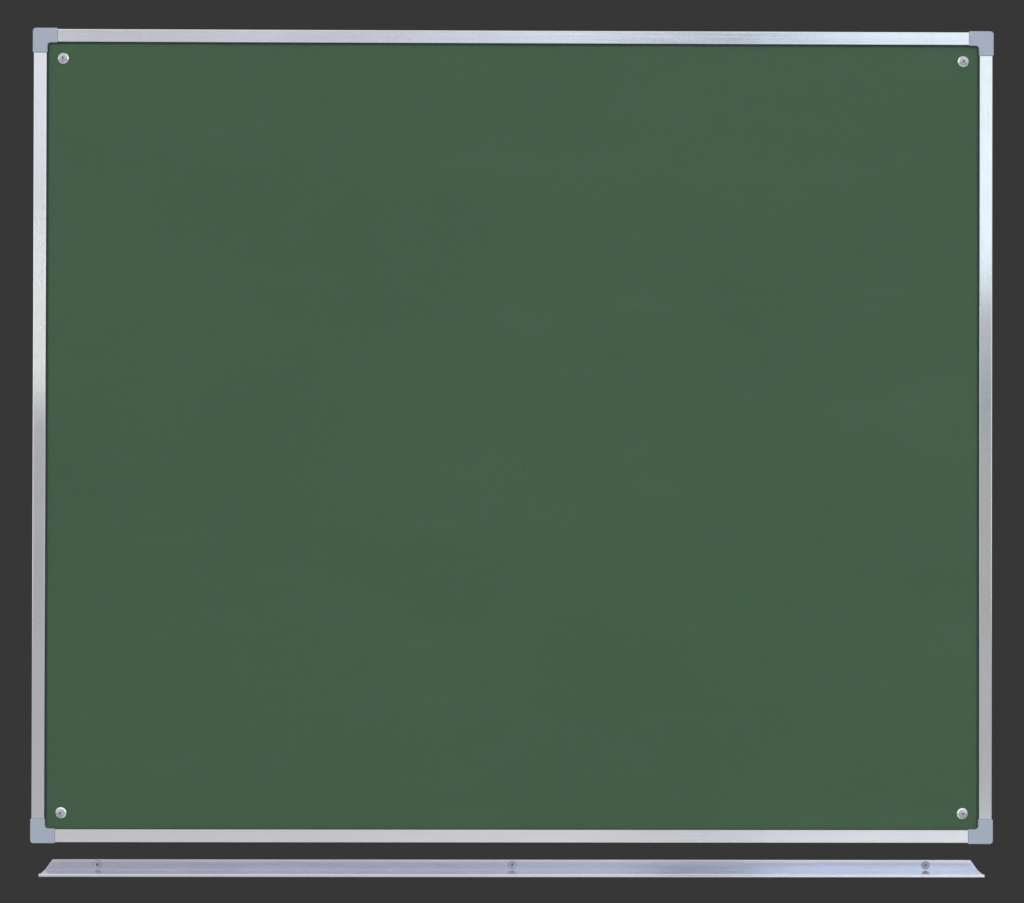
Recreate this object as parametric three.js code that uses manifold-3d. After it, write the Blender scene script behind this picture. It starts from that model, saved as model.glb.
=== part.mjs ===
// Wall-hung ceramic (vitreous enamelled steel) chalkboard with a separate chalk tray.
//
// Units are millimetres. +X is to the right and +Z is up for a person who faces the board, so the
// front faces -Y. The wall is the plane y = 0 and the origin is the centre of the framed board on it.
// The board is a three-layer panel (enamelled sheet, core board, galvanised back sheet) held in the
// channel of four aluminium profiles. Moulded corner caps join the profiles: each cap has two tenons
// that fill the hollow chambers of the profiles, and one small screw holds each tenon from behind.
// Four raised-head screws in cup washers go through the panel into the wall. The chalk tray is a
// length of extruded aluminium with its own three screws, and hangs below the board without touching it.

import * as THREE from 'three';
import { mergeVertices } from 'three/addons/utils/BufferGeometryUtils.js';
import Module from 'manifold-3d';

const wasm = await Module();
wasm.setup();

// ---------------------------------------------------------------- driving dimensions
const FRAME_W = 1200;          // outside width of the aluminium frame
const FRAME_H = 1015.5;        // outside height of the aluminium frame
const FACE = 16;               // width of a profile's face, seen from the front
const FRAME_FRONT = -16;       // y of the profiles' front face
const FRAME_BACK = -1;         // y of the profiles' rear face: the caps stand 1 mm proud behind
const FRONT_WALL = 1.8;        // front flange
const REAR_WALL = 1.4;         // rear flange
const OUTER_WALL = 1.4;        // outer edge of the profile
const CHAMBER = 6;             // width of the hollow chamber behind the outer wall
const WEB = 1.2;               // web between the chamber and the panel channel
const EDGE_R = 1.2;            // rounding of the profile's outer edges
const GAP = 0.3;               // clearance between neighbouring pieces

const CH_FRONT = FRAME_FRONT + FRONT_WALL;               // front of chamber and channel
const CH_REAR = FRAME_BACK - REAR_WALL;                  // rear of chamber and channel
const CHANNEL_AT = OUTER_WALL + CHAMBER + WEB;           // depth of the channel's floor

const SHEET_T = 0.5;           // enamelled steel writing sheet
const BACK_T = 0.4;            // galvanised steel back sheet
const SHEET_FRONT = CH_FRONT + GAP;                      // y of the writing surface
const CORE_FRONT = SHEET_FRONT + SHEET_T + GAP;
const BACK_REAR = CH_REAR - 0.4;
const CORE_REAR = BACK_REAR - BACK_T - GAP;
const PANEL_EDGE = CHANNEL_AT + 0.5;                     // panel edge, in from the frame's outer edge

const CAP_PROUD = 1.2;         // cap stands out past the profiles at the outer edge
const CAP_FRONT = -17;         // y of the cap's front face
const CAP_LEG = 29.4;          // length of a cap's arm, from the frame's outer corner
const CAP_ARM = 17;            // inner edge of a cap's arm, from the frame's outer edge
const CAP_R = 4;               // outer corner radius
const CAP_FILLET = 4;          // inner corner radius
const CAP_BEVEL = 0.8;         // softened edges
const CAP_WALL = 2;            // wall of the hollow moulding
const CAP_SKIN = 2.2;          // front skin of the hollow moulding
const TENON = 22;              // length of a tenon past the arm's end

const SCREW_INSET = 36.3;      // board screws, in from the frame's outer edges
const PANEL_HOLE_R = 3;        // clearance holes through the panel
const WALL_SCREW_R = 2.45;     // shank, 5 mm screw
const WALL_SCREW_HEAD_R = 4.7;
const WALL_SCREW_TIP = 32.8;   // y of the tip: 50 mm screw
const WASHER_R = 7.25;         // cup washer, outside

const CAP_SCREW_AT = 12;       // past the arm's end, along the tenon
const CAP_SCREW_R = 1.3;       // 2.9 mm self-tapping screw
const CAP_SCREW_LEN = 9.5;

const TRAY_LEN = 1171;         // length at the shelf and lip
const TRAY_TOP = -532;         // z of the flange's top edge
const TRAY_TOP_LEN = 1153;     // length of the flange's top edge: its ends are clipped at a slant
const SHELF_Z = -544.4;        // z of the shelf's upper face
const TRAY_T = 2;              // thickness of flange, shelf and lip
const SHELF_DEPTH = 40;        // wall to the front of the lip
const LIP_Z = -542.6;          // z of the lip's top edge
const TRAY_HOLE_X = 520;       // outer holes; one more is in the middle
const TRAY_HOLE_Z = -538.2;
const TRAY_HOLE_R = 5;         // countersink at the flange's face
const TRAY_SCREW_TIP = 33;     // y of the tip: 35 mm screw

// ---------------------------------------------------------------- finishes
const finish = (color, roughness, metalness) => () => new THREE.MeshStandardMaterial({ color, roughness, metalness });
const ENAMEL = finish(0x445e48, 0.75, 0.0);
const FIBRE = finish(0x9a7b55, 0.9, 0.0);
const GALVANISED = finish(0xa9adb0, 0.45, 0.9);
const ALUMINIUM = finish(0xc8c9cf, 0.35, 0.9);
const CAP_PLASTIC = finish(0xa2aec0, 0.55, 0.0);
const NICKEL = finish(0xd2d3d0, 0.22, 1.0);
const ZINC = finish(0xb4b7ba, 0.35, 1.0);

// ---------------------------------------------------------------- solids
function solid(geometry) {
  const g = geometry.clone();
  g.deleteAttribute('normal');
  g.deleteAttribute('uv');
  const m = mergeVertices(g, 1e-4);
  const index = m.getIndex().array;
  const tris = [];
  for (let i = 0; i < index.length; i += 3) {
    const [a, b, c] = [index[i], index[i + 1], index[i + 2]];
    if (a !== b && b !== c && c !== a) tris.push(a, b, c);
  }
  return new wasm.Manifold(new wasm.Mesh({
    numProp: 3,
    vertProperties: new Float32Array(m.getAttribute('position').array),
    triVerts: new Uint32Array(tris),
  }));
}

function geometryOf(manifold) {
  const mesh = manifold.getMesh();
  const g = new THREE.BufferGeometry();
  g.setAttribute('position', new THREE.BufferAttribute(new Float32Array(mesh.vertProperties), 3));
  g.setIndex(new THREE.BufferAttribute(new Uint32Array(mesh.triVerts), 1));
  g.computeVertexNormals();
  return g;
}

const cut = (body, ...tools) => tools.reduce((b, t) => b.subtract(solid(t)), body);
const join = (body, ...parts) => parts.reduce((b, t) => b.add(solid(t)), body);

function box(x0, x1, y0, y1, z0, z1) {
  return new THREE.BoxGeometry(x1 - x0, y1 - y0, z1 - z0)
    .translate((x0 + x1) / 2, (y0 + y1) / 2, (z0 + z1) / 2);
}

// Turned piece about an axis along Y: rows of [radius, y], from one end to the other.
function turned(rows, sides) {
  const pts = rows.map(([r, y]) => new THREE.Vector2(r, y));
  return new THREE.LatheGeometry(pts, sides);
}

// A section drawn as (y, z) and extruded along X, centred on x = 0.
const SECTION_TO_WORLD = new THREE.Matrix4().set(
  0, 0, 1, 0,
  1, 0, 0, 0,
  0, 1, 0, 0,
  0, 0, 0, 1);
function extrudeAlongX(shape, length, curveSegments = 3) {
  const g = new THREE.ExtrudeGeometry(shape, { depth: length, bevelEnabled: false, steps: 1, curveSegments });
  return g.applyMatrix4(SECTION_TO_WORLD).translate(-length / 2, 0, 0);
}

// An outline drawn as (x, z) and given thickness from yFront back to yRear.
function plate(shape, yFront, yRear, curveSegments = 12) {
  const g = new THREE.ExtrudeGeometry(shape, { depth: yRear - yFront, bevelEnabled: false, steps: 1, curveSegments });
  return g.rotateX(Math.PI / 2).translate(0, yRear, 0);
}

const group = new THREE.Group();
group.name = 'ceramic_chalkboard';
function add(name, geometry, material, place = {}) {
  const mesh = new THREE.Mesh(geometry, material());
  mesh.name = name;
  if (place.at) mesh.position.set(...place.at);
  if (place.turn) mesh.rotation.y = place.turn;
  group.add(mesh);
  return mesh;
}

// ---------------------------------------------------------------- panel: three layers, four clearance holes
const SCREWS = {
  top_left: [-(FRAME_W / 2 - SCREW_INSET), FRAME_H / 2 - SCREW_INSET],
  top_right: [FRAME_W / 2 - SCREW_INSET, FRAME_H / 2 - SCREW_INSET],
  bottom_left: [-(FRAME_W / 2 - SCREW_INSET), -(FRAME_H / 2 - SCREW_INSET)],
  bottom_right: [FRAME_W / 2 - SCREW_INSET, -(FRAME_H / 2 - SCREW_INSET)],
};

function layer(edge, yFront, yRear) {
  const w = FRAME_W / 2 - edge;
  const h = FRAME_H / 2 - edge;
  const s = new THREE.Shape();
  s.moveTo(-w, -h).lineTo(w, -h).lineTo(w, h).lineTo(-w, h).lineTo(-w, -h);
  for (const [x, z] of Object.values(SCREWS)) {
    const hole = new THREE.Path();
    hole.absarc(x, z, PANEL_HOLE_R, 0, Math.PI * 2, true);
    s.holes.push(hole);
  }
  return plate(s, yFront, yRear, 10);
}

add('writing_sheet', layer(PANEL_EDGE, SHEET_FRONT, SHEET_FRONT + SHEET_T), ENAMEL);
add('core_board', layer(PANEL_EDGE + 0.4, CORE_FRONT, CORE_REAR), FIBRE);
add('back_sheet', layer(PANEL_EDGE + 0.2, BACK_REAR - BACK_T, BACK_REAR), GALVANISED);

// ---------------------------------------------------------------- frame profiles
// Section as (y, z) with the outer edge at z = 0 and the channel opening at z = -FACE.
function profileSection() {
  const f = FRAME_FRONT, b = FRAME_BACK, r = EDGE_R, t = 0.7;
  const s = new THREE.Shape();
  s.moveTo(f, -r);
  s.quadraticCurveTo(f, 0, f + r, 0);
  s.lineTo(b - r, 0);
  s.quadraticCurveTo(b, 0, b, -r);
  s.lineTo(b, -FACE + t);
  s.quadraticCurveTo(b, -FACE, b - t, -FACE);
  s.lineTo(CH_REAR, -FACE);
  s.lineTo(CH_REAR, -CHANNEL_AT);
  s.lineTo(CH_FRONT, -CHANNEL_AT);
  s.lineTo(CH_FRONT, -FACE);
  s.lineTo(f + t, -FACE);
  s.quadraticCurveTo(f, -FACE, f, -FACE + t);
  s.lineTo(f, -r);
  const c = new THREE.Path();
  c.moveTo(CH_FRONT, -OUTER_WALL);
  c.lineTo(CH_FRONT, -OUTER_WALL - CHAMBER);
  c.lineTo(CH_REAR, -OUTER_WALL - CHAMBER);
  c.lineTo(CH_REAR, -OUTER_WALL);
  c.lineTo(CH_FRONT, -OUTER_WALL);
  s.holes.push(c);
  return s;
}

const CHAMBER_MID = OUTER_WALL + CHAMBER / 2;            // in from the outer edge
const CAP_SCREW_FROM_END = CAP_SCREW_AT - GAP;           // in from the profile's end

// Countersunk hole in the rear flange, on the chamber's middle line.
function rearHole(x) {
  const r = 3.15;
  return turned([[0, CH_REAR - 1], [r - REAR_WALL, CH_REAR - 1], [r - REAR_WALL, CH_REAR], [r, FRAME_BACK], [r, FRAME_BACK + 1], [0, FRAME_BACK + 1]], 16)
    .translate(x, 0, -CHAMBER_MID);
}

function profile(length) {
  const half = length / 2 - CAP_SCREW_FROM_END;
  return geometryOf(cut(solid(extrudeAlongX(profileSection(), length)), rearHole(-half), rearHole(half)));
}

const LONG = FRAME_W - 2 * (CAP_LEG + GAP);
const SHORT = FRAME_H - 2 * (CAP_LEG + GAP);
add('frame_top', profile(LONG), ALUMINIUM, { at: [0, 0, FRAME_H / 2] });
add('frame_right', profile(SHORT), ALUMINIUM, { at: [FRAME_W / 2, 0, 0], turn: Math.PI / 2 });
add('frame_bottom', profile(LONG), ALUMINIUM, { at: [0, 0, -FRAME_H / 2], turn: Math.PI });
add('frame_left', profile(SHORT), ALUMINIUM, { at: [-FRAME_W / 2, 0, 0], turn: -Math.PI / 2 });

// ---------------------------------------------------------------- corner caps
// Drawn for the top right corner, with the frame's outer corner at x = 0, z = 0.
function capGeometry() {
  const e = CAP_PROUD, w = CAP_ARM, n = CAP_LEG, R = CAP_R, r = CAP_FILLET;
  const s = new THREE.Shape();
  s.moveTo(-n, e);
  s.lineTo(-n, -w);
  s.lineTo(-w - r, -w);
  s.absarc(-w - r, -w - r, r, Math.PI / 2, 0, true);
  s.lineTo(-w, -n);
  s.lineTo(e, -n);
  s.lineTo(e, e - R);
  s.absarc(e - R, e - R, R, 0, Math.PI / 2, false);
  s.lineTo(-n, e);
  const depth = -CAP_FRONT - 2 * CAP_BEVEL;
  const body = new THREE.ExtrudeGeometry(s, {
    depth, steps: 1, curveSegments: 6,
    bevelEnabled: true, bevelThickness: CAP_BEVEL, bevelSize: CAP_BEVEL, bevelOffset: -CAP_BEVEL, bevelSegments: 2,
  });
  body.rotateX(Math.PI / 2).translate(0, -CAP_BEVEL, 0);

  const t0 = OUTER_WALL + GAP, t1 = OUTER_WALL + CHAMBER - GAP;       // tenon's sides
  const y0 = CH_FRONT + GAP, y1 = CH_REAR - GAP;
  const a = n - CAP_WALL / 2, end = n + TENON;
  let m = join(solid(body), box(-end, -a, y0, y1, -t1, -t0), box(-t1, -t0, y0, y1, -end, -a));

  // Room for the panel's corner.
  m = cut(m, box(-n - 1, -CHANNEL_AT, CH_FRONT, CH_REAR, -n - 1, -CHANNEL_AT));

  // The moulding is hollow from behind, with ribs across it.
  const p0 = CAP_WALL - CAP_PROUD, p1 = CHANNEL_AT - CAP_WALL, yp = CAP_FRONT + CAP_SKIN;
  for (const [s0, s1] of [[p0, 11.5], [13.1, 19.5], [21.1, n - CAP_WALL]]) {
    m = cut(m, box(-s1, -s0, yp, 1, -p1, -p0), box(-p1, -p0, yp, 1, -s1, -s0));
  }

  // Pilot holes in the tenons, open to the rear.
  const pilot = () => turned([[0, -11.2], [1.6, -11.2], [1.6, 0], [0, 0]], 12);
  const at = n + CAP_SCREW_AT;
  m = cut(m, pilot().translate(-at, 0, -CHAMBER_MID), pilot().translate(-CHAMBER_MID, 0, -at));
  return geometryOf(m);
}

const CORNERS = {
  top_right: [FRAME_W / 2, FRAME_H / 2, 0],
  bottom_right: [FRAME_W / 2, -FRAME_H / 2, Math.PI / 2],
  bottom_left: [-FRAME_W / 2, -FRAME_H / 2, Math.PI],
  top_left: [-FRAME_W / 2, FRAME_H / 2, -Math.PI / 2],
};
const cap = capGeometry();
for (const [where, [x, z, turn]] of Object.entries(CORNERS)) {
  add(`corner_cap_${where}`, cap, CAP_PLASTIC, { at: [x, 0, z], turn });
}

// ---------------------------------------------------------------- screws that hold the caps' tenons
// Countersunk head flush with the profile's rear face; the axis is along Y and the head faces +Y.
function capScrew() {
  const h = 2.72, y = FRAME_BACK - 0.05;
  const rows = [
    [0, y - CAP_SCREW_LEN], [0.45, y - CAP_SCREW_LEN + 0.3], [CAP_SCREW_R, y - CAP_SCREW_LEN + 2.2],
    [CAP_SCREW_R, y - (h - CAP_SCREW_R)], [h, y], [0, y],
  ];
  return geometryOf(cut(solid(turned(rows, 12)), box(-0.4, 0.4, y - 1.2, y + 1, -1.5, 1.5), box(-1.5, 1.5, y - 1.2, y + 1, -0.4, 0.4)));
}
const capScrewGeometry = capScrew();
for (const [where, [cx, cz]] of Object.entries(CORNERS)) {
  const sx = Math.sign(cx), sz = Math.sign(cz), at = CAP_LEG + CAP_SCREW_AT;
  add(`cap_screw_${where}_a`, capScrewGeometry, ZINC, { at: [cx - sx * at, 0, cz - sz * CHAMBER_MID], turn: 0.35 * sx * sz });
  add(`cap_screw_${where}_b`, capScrewGeometry, ZINC, { at: [cx - sx * CHAMBER_MID, 0, cz - sz * at], turn: 0.8 * sx });
}

// ---------------------------------------------------------------- board screws and their cup washers
// Rows are [radius, height above the writing surface]; height runs towards -Y.
const front = (rows) => rows.map(([r, s]) => [r, SHEET_FRONT - s]);

function wallScrew() {
  const h = WALL_SCREW_HEAD_R, r = WALL_SCREW_R;
  const head = front([[0, 3.9], [2.2, 3.75], [3.8, 3.35], [h, 2.9], [r, 2.9 - (h - r)]]);
  const rows = [...head, [r, WALL_SCREW_TIP - 7], [0.5, WALL_SCREW_TIP - 0.5], [0, WALL_SCREW_TIP]];
  const y0 = SHEET_FRONT - 5, y1 = SHEET_FRONT - 1.2;
  return geometryOf(cut(solid(turned(rows, 18)), box(-0.55, 0.55, y0, y1, -2.6, 2.6), box(-2.6, 2.6, y0, y1, -0.55, 0.55)));
}

function cupWasher() {
  const rows = front([
    [WASHER_R, GAP], [2.95, GAP], [2.95, 0.7], [5.15, 2.9], [5.45, 3.05], [5.8, 2.9],
    [6.3, 2.0], [6.75, 1.2], [WASHER_R, 0.85], [WASHER_R, GAP],
  ]);
  return geometryOf(solid(turned(rows, 28)));
}

const wallScrewGeometry = wallScrew();
const cupWasherGeometry = cupWasher();
const RECESS_TURN = { top_left: 0.42, top_right: 1.05, bottom_left: -0.21, bottom_right: 0.72 };
for (const [where, [x, z]] of Object.entries(SCREWS)) {
  add(`cup_washer_${where}`, cupWasherGeometry, NICKEL, { at: [x, 0, z] });
  add(`wall_screw_${where}`, wallScrewGeometry, NICKEL, { at: [x, 0, z], turn: RECESS_TURN[where] });
}

// ---------------------------------------------------------------- chalk tray and its screws
function traySection() {
  const d = -SHELF_DEPTH, t = TRAY_T, zb = SHELF_Z - t;
  const s = new THREE.Shape();
  s.moveTo(0, TRAY_TOP);
  s.lineTo(0, zb + 0.8);
  s.quadraticCurveTo(0, zb, -0.8, zb);
  s.lineTo(d + 1, zb);
  s.quadraticCurveTo(d, zb, d, zb + 1);
  s.lineTo(d, LIP_Z - 0.8);
  s.quadraticCurveTo(d, LIP_Z, d + 0.8, LIP_Z);
  s.lineTo(d + t - 0.5, LIP_Z);
  s.quadraticCurveTo(d + t, LIP_Z, d + t, LIP_Z - 0.5);
  s.lineTo(d + t, SHELF_Z + 0.8);
  s.quadraticCurveTo(d + t, SHELF_Z, d + t + 0.8, SHELF_Z);
  s.lineTo(-t - 1, SHELF_Z);
  s.quadraticCurveTo(-t, SHELF_Z, -t, SHELF_Z + 1);
  s.lineTo(-t, TRAY_TOP - 0.4);
  s.quadraticCurveTo(-t, TRAY_TOP, -t + 0.4, TRAY_TOP);
  s.lineTo(0, TRAY_TOP);
  return s;
}

// Slanted cut across one end of the flange, above the shelf.
function endClip(side) {
  const x1 = TRAY_LEN / 2, slope = (TRAY_LEN - TRAY_TOP_LEN) / 2 / (TRAY_TOP - SHELF_Z);
  const s = new THREE.Shape();
  s.moveTo(side * x1, SHELF_Z);
  s.lineTo(side * (x1 - slope * (TRAY_TOP - SHELF_Z + 1)), TRAY_TOP + 1);
  s.lineTo(side * (x1 + 5), TRAY_TOP + 1);
  s.lineTo(side * (x1 + 5), SHELF_Z);
  s.lineTo(side * x1, SHELF_Z);
  return plate(s, -TRAY_T - 1.2, 1);
}

function trayHole(x) {
  const R = TRAY_HOLE_R, y = -TRAY_T;
  return turned([[0, y - 1], [R, y - 1], [R, y], [R - TRAY_T, 0], [R - TRAY_T, 1], [0, 1]], 20).translate(x, 0, TRAY_HOLE_Z);
}

const TRAY_SCREWS = { left: -TRAY_HOLE_X, centre: 0, right: TRAY_HOLE_X };
add('chalk_tray', geometryOf(cut(
  solid(extrudeAlongX(traySection(), TRAY_LEN)),
  endClip(-1), endClip(1),
  ...Object.values(TRAY_SCREWS).map(trayHole))), ALUMINIUM);

function trayScrew() {
  const y = -TRAY_T + 0.1, h = 4.45, r = WALL_SCREW_R;
  const rows = [[0, y], [h, y], [r, y + h - r], [r, TRAY_SCREW_TIP - 7], [0.5, TRAY_SCREW_TIP - 0.5], [0, TRAY_SCREW_TIP]];
  return geometryOf(cut(solid(turned(rows, 18)), box(-0.55, 0.55, y - 1, y + 2.4, -2.6, 2.6), box(-2.6, 2.6, y - 1, y + 2.4, -0.55, 0.55)));
}
const trayScrewGeometry = trayScrew();
for (const [where, x] of Object.entries(TRAY_SCREWS)) {
  add(`tray_screw_${where}`, trayScrewGeometry, NICKEL, { at: [x, 0, TRAY_HOLE_Z], turn: 0.3 + 0.004 * x });
}

export default group;
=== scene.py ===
"""Looks of a wall-hung ceramic chalkboard with a separate chalk tray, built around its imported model.

Everything is in metres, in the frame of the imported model: +X right, +Z up, the writing surface faces -Y.
"""

import math

import bmesh
import bpy
import numpy as np
from mathutils import Matrix, Vector


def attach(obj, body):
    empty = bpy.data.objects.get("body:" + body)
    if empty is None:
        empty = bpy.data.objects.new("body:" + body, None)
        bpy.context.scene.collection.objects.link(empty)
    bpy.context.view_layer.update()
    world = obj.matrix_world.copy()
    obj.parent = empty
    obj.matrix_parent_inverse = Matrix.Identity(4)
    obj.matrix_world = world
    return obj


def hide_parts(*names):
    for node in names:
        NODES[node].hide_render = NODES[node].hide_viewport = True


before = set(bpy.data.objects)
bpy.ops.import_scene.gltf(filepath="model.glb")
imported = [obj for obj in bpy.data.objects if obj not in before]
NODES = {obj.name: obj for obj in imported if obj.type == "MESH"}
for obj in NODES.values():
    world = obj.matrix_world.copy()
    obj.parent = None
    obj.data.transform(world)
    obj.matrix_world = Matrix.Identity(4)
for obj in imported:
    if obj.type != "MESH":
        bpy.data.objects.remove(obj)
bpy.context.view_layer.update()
MM = 0.001

scene = bpy.context.scene
scene.view_settings.view_transform = "Standard"
scene.view_settings.look = "None"
scene.view_settings.exposure = 0.0
scene.view_settings.gamma = 1.0

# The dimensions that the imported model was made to, in millimetres.
FRAME_W, FRAME_H = 1200.0, 1015.5
FACE, FRAME_FRONT, FRAME_BACK = 16.0, -16.0, -1.0
FRONT_WALL, REAR_WALL, OUTER_WALL, CHAMBER, WEB = 1.8, 1.4, 1.4, 6.0, 1.2
CH_FRONT, CH_REAR = FRAME_FRONT + FRONT_WALL, FRAME_BACK - REAR_WALL
CHANNEL_AT = OUTER_WALL + CHAMBER + WEB
SHEET_FRONT = CH_FRONT + 0.3
CAP_PROUD, CAP_FRONT, CAP_LEG, CAP_ARM = 1.2, -17.0, 29.4, 17.0
SCREW_INSET = 36.3
TRAY_LEN, TRAY_TOP, TRAY_TOP_LEN = 1171.0, -532.0, 1153.0
SHELF_Z, TRAY_T, SHELF_DEPTH, LIP_Z = -544.4, 2.0, 40.0, -542.6
TRAY_HOLE_X, TRAY_HOLE_Z, TRAY_HOLE_R = 520.0, -538.2, 5.0


# ------------------------------------------------------------------ camera
def make_camera():
    """The photograph's view: nearly square on, eye level a little below the board's middle."""
    cx, cy, cz = -0.0215, -2.700, -0.0324
    yaw, roll, pitch = -0.00749, 0.00223, 0.00495
    fx = 2146.65
    c, s = math.cos(yaw), math.sin(yaw)
    r1 = Matrix(((c, s, 0), (-s, c, 0), (0, 0, 1)))
    c, s = math.cos(pitch), math.sin(pitch)
    r2 = Matrix(((1, 0, 0), (0, c, s), (0, -s, c)))
    r = r2 @ r1
    right, fwd, up = Vector(r[0]), Vector(r[1]), Vector(r[2])
    c, s = math.cos(roll), math.sin(roll)
    right, up = right * c + up * s, up * c - right * s
    cam = bpy.data.cameras.new("camera")
    cam.sensor_fit = "HORIZONTAL"
    cam.sensor_width = 36.0
    cam.lens = fx / 1024.0 * 36.0
    cam.clip_start, cam.clip_end = 0.05, 100.0
    ob = bpy.data.objects.new("camera", cam)
    m = Matrix.Identity(4)
    for i, v in enumerate((right, up, -fwd)):
        m[0][i], m[1][i], m[2][i] = v
    m.translation = Vector((cx, cy, cz))
    ob.matrix_world = m
    scene.collection.objects.link(ob)
    scene.camera = ob


make_camera()


# ------------------------------------------------------------------ node helpers
class Mat:
    """A small wrapper that builds one procedural material."""

    def __init__(self, name):
        self.mat = bpy.data.materials.new(name)
        self.mat.use_nodes = True
        self.nt = self.mat.node_tree
        self.nt.nodes.clear()
        self.out = self.nt.nodes.new("ShaderNodeOutputMaterial")
        self.bsdf = self.nt.nodes.new("ShaderNodeBsdfPrincipled")
        self.nt.links.new(self.bsdf.outputs["BSDF"], self.out.inputs["Surface"])
        self.coord = self.nt.nodes.new("ShaderNodeTexCoord").outputs["Object"]

    def link(self, a, b):
        self.nt.links.new(a, b)

    def set(self, **values):
        names = {"color": "Base Color", "metallic": "Metallic", "roughness": "Roughness", "specular": "Specular IOR Level",
                 "aniso": "Anisotropic", "ior": "IOR", "coat": "Coat Weight", "coat_rough": "Coat Roughness", "sheen": "Sheen Weight"}
        for k, v in values.items():
            self.bsdf.inputs[names[k]].default_value = v
        return self

    def vec(self, scale=(1, 1, 1), rot=(0, 0, 0), loc=(0, 0, 0), source=None):
        n = self.nt.nodes.new("ShaderNodeMapping")
        n.inputs["Scale"].default_value = scale
        n.inputs["Rotation"].default_value = rot
        n.inputs["Location"].default_value = loc
        self.link(source or self.coord, n.inputs["Vector"])
        return n.outputs["Vector"]

    def noise(self, scale, detail=3.0, rough=0.5, vec=None, distortion=0.0):
        n = self.nt.nodes.new("ShaderNodeTexNoise")
        n.inputs["Scale"].default_value = scale
        n.inputs["Detail"].default_value = detail
        n.inputs["Roughness"].default_value = rough
        n.inputs["Distortion"].default_value = distortion
        self.link(vec if vec is not None else self.coord, n.inputs["Vector"])
        return n.outputs["Fac"]

    def voronoi(self, scale, vec=None, feature="F1", output="Color", randomness=1.0):
        n = self.nt.nodes.new("ShaderNodeTexVoronoi")
        n.feature = feature
        n.inputs["Scale"].default_value = scale
        n.inputs["Randomness"].default_value = randomness
        self.link(vec if vec is not None else self.coord, n.inputs["Vector"])
        return n.outputs[output]

    def math(self, op, a, b=None, c=None, clamp=False):
        n = self.nt.nodes.new("ShaderNodeMath")
        n.operation = op
        n.use_clamp = clamp
        for i, v in enumerate((a, b, c)):
            if v is None:
                continue
            if isinstance(v, (int, float)):
                n.inputs[i].default_value = v
            else:
                self.link(v, n.inputs[i])
        return n.outputs[0]

    def remap(self, v, a, b, lo, hi, smooth=False):
        n = self.nt.nodes.new("ShaderNodeMapRange")
        n.interpolation_type = "SMOOTHSTEP" if smooth else "LINEAR"
        n.clamp = True
        n.inputs["From Min"].default_value = a
        n.inputs["From Max"].default_value = b
        n.inputs["To Min"].default_value = lo
        n.inputs["To Max"].default_value = hi
        self.link(v, n.inputs["Value"])
        return n.outputs["Result"]

    def mix(self, fac, a, b, blend="MIX"):
        n = self.nt.nodes.new("ShaderNodeMix")
        n.data_type = "RGBA"
        n.blend_type = blend
        n.clamp_result = False
        for socket, v in ((n.inputs["Factor"], fac), (n.inputs["A"], a), (n.inputs["B"], b)):
            if isinstance(v, (int, float)):
                socket.default_value = v
            elif isinstance(v, tuple):
                socket.default_value = (*v, 1.0) if len(v) == 3 else v
            else:
                self.link(v, socket)
        return n.outputs["Result"]

    def scale_color(self, color, factor):
        """color times a grey factor."""
        n = self.nt.nodes.new("ShaderNodeVectorMath")
        n.operation = "SCALE"
        if isinstance(color, tuple):
            n.inputs[0].default_value = color
        else:
            self.link(color, n.inputs[0])
        if isinstance(factor, (int, float)):
            n.inputs["Scale"].default_value = factor
        else:
            self.link(factor, n.inputs["Scale"])
        return n.outputs["Vector"]

    def separate(self, v=None):
        n = self.nt.nodes.new("ShaderNodeSeparateXYZ")
        self.link(v or self.coord, n.inputs[0])
        return n.outputs

    def normal_z(self):
        n = self.nt.nodes.new("ShaderNodeNewGeometry")
        return self.separate(n.outputs["Normal"])[2]

    def bump(self, height, strength, distance, normal=None):
        n = self.nt.nodes.new("ShaderNodeBump")
        n.inputs["Strength"].default_value = strength
        n.inputs["Distance"].default_value = distance
        self.link(height, n.inputs["Height"])
        if normal is not None:
            self.link(normal, n.inputs["Normal"])
        return n.outputs["Normal"]

    def tangent_across(self, axis):
        """The tangent lies in the surface, at right angles to this axis."""
        g = self.nt.nodes.new("ShaderNodeNewGeometry")
        n = self.nt.nodes.new("ShaderNodeVectorMath")
        n.operation = "CROSS_PRODUCT"
        self.link(g.outputs["Normal"], n.inputs[0])
        n.inputs[1].default_value = axis
        k = self.nt.nodes.new("ShaderNodeVectorMath")
        k.operation = "ADD"
        self.link(n.outputs["Vector"], k.inputs[0])
        k.inputs[1].default_value = (0.0011, 0.0013, 0.0017)
        self.link(k.outputs["Vector"], self.bsdf.inputs["Tangent"])

    def color(self, v):
        self.link(v, self.bsdf.inputs["Base Color"])

    def rough(self, v):
        self.link(v, self.bsdf.inputs["Roughness"])

    def metal(self, v):
        self.link(v, self.bsdf.inputs["Metallic"])

    def normal(self, v):
        self.link(v, self.bsdf.inputs["Normal"])


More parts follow.
